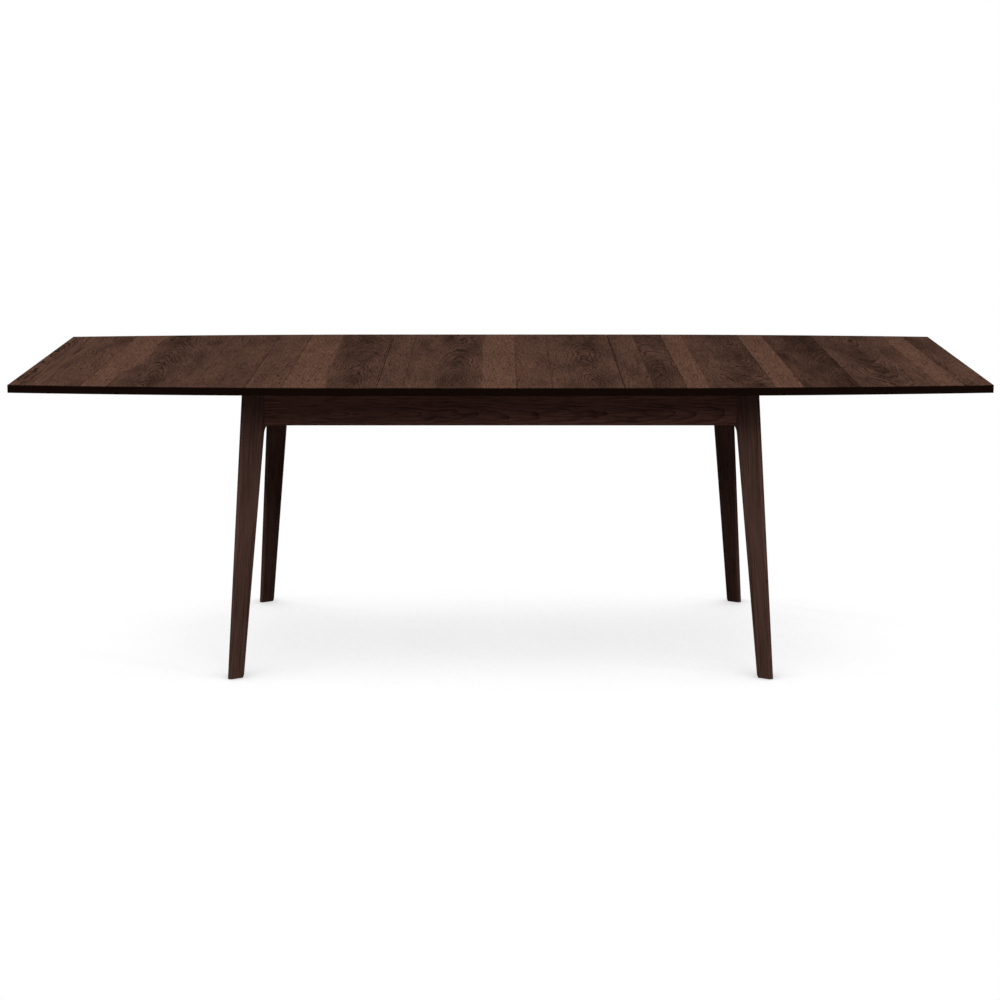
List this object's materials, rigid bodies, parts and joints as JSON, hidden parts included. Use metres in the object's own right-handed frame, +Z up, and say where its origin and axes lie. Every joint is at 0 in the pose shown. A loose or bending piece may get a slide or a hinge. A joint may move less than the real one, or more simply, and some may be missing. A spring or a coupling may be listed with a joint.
{
  "type": "extending dining table",
  "caption": "Long boat-shaped wooden dining table on splayed tapered legs; its halves slide apart on geared runners for a loose leaf.",
  "frame": {"origin": "on the floor under the middle of the table", "axes": "+X along the length to the right, +Y to the back, +Z up; the picture looks along +Y"},
  "size_m": [2.438, 1.016, 0.762],
  "materials": {
    "stained_wood": "walnut, dark brown stain, matt oil",
    "slide_wood": "clear oil",
    "dowel_wood": "turned, uncoated",
    "zinc_steel": "zinc plated",
    "nylon": "natural nylon",
    "felt": "pressed felt"
  },
  "bodies": {
    "base": {"front_left_leg": "stained_wood", "front_right_leg": "stained_wood", "rear_left_leg": "stained_wood", "rear_right_leg": "stained_wood", "front_left_foot_glide": "felt", "front_right_foot_glide": "felt", "rear_left_foot_glide": "felt", "rear_right_foot_glide": "felt", "front_left_brace": "slide_wood", "front_right_brace": "slide_wood", "rear_left_brace": "slide_wood", "rear_right_brace": "slide_wood", "left_rail": "slide_wood", "middle_rail": "slide_wood", "right_rail": "slide_wood", "front_outer_guide": "slide_wood", "front_inner_guide": "slide_wood", "rear_outer_guide": "slide_wood", "rear_inner_guide": "slide_wood", "front_apron": "stained_wood", "rear_apron": "stained_wood", "left_end_apron": "stained_wood", "right_end_apron": "stained_wood", "hanger_bolts": "zinc_steel", "corner_washers": "zinc_steel", "corner_nuts": "zinc_steel", "guide_screws": "zinc_steel", "glide_strips": "nylon", "front_pinion_post": "zinc_steel", "rear_pinion_post": "zinc_steel", "front_pinion_clip": "zinc_steel", "rear_pinion_clip": "zinc_steel"},
    "left_half": {"left_top": "stained_wood", "left_leaf_pins": "dowel_wood", "left_runner_screws": "zinc_steel", "left_front_runner": "slide_wood", "left_front_rack": "nylon", "left_front_stop": "slide_wood", "left_rear_runner": "slide_wood", "left_rear_rack": "nylon", "left_rear_stop": "slide_wood"},
    "right_half": {"right_top": "stained_wood", "right_leaf_pins": "dowel_wood", "right_runner_screws": "zinc_steel", "right_front_runner": "slide_wood", "right_front_rack": "nylon", "right_front_stop": "slide_wood", "right_rear_runner": "slide_wood", "right_rear_rack": "nylon", "right_rear_stop": "slide_wood"},
    "front_pinion": {"front_pinion": "nylon"},
    "rear_pinion": {"rear_pinion": "nylon"},
    "leaf": {"leaf": "stained_wood", "front_cleat": "slide_wood", "rear_cleat": "slide_wood", "cleat_screws": "zinc_steel"}
  },
  "joints": [
    {"name": "left_slide", "type": "slide", "parent": "base", "child": "left_half", "axis": [-1, 0, 0], "range_m": [0, 0.03]},
    {"name": "right_slide", "type": "slide", "parent": "base", "child": "right_half", "axis": [1, 0, 0], "range_m": [0, 0.03]},
    {"name": "rear_pinion_turn", "type": "hinge", "parent": "base", "child": "rear_pinion", "pos_m": [0, 0.2, 0.722], "axis": [0, 0, 1], "range_deg": [0, 96.5]},
    {"name": "front_pinion_turn", "type": "hinge", "parent": "base", "child": "front_pinion", "pos_m": [0, -0.2, 0.722], "axis": [0, 0, 1], "range_deg": [-96.5, 0]},
    {"name": "leaf_lift", "type": "slide", "parent": "base", "child": "leaf", "axis": [0, 0, 1], "range_m": [0, 0.3]}
  ],
  "couplings": [
    {"joint": "right_slide", "follows": "left_slide", "ratio": 1},
    {"joint": "rear_pinion_turn", "follows": "left_slide", "rad_per_m": 55.556},
    {"joint": "front_pinion_turn", "follows": "left_slide", "rad_per_m": -55.556}
  ]
}
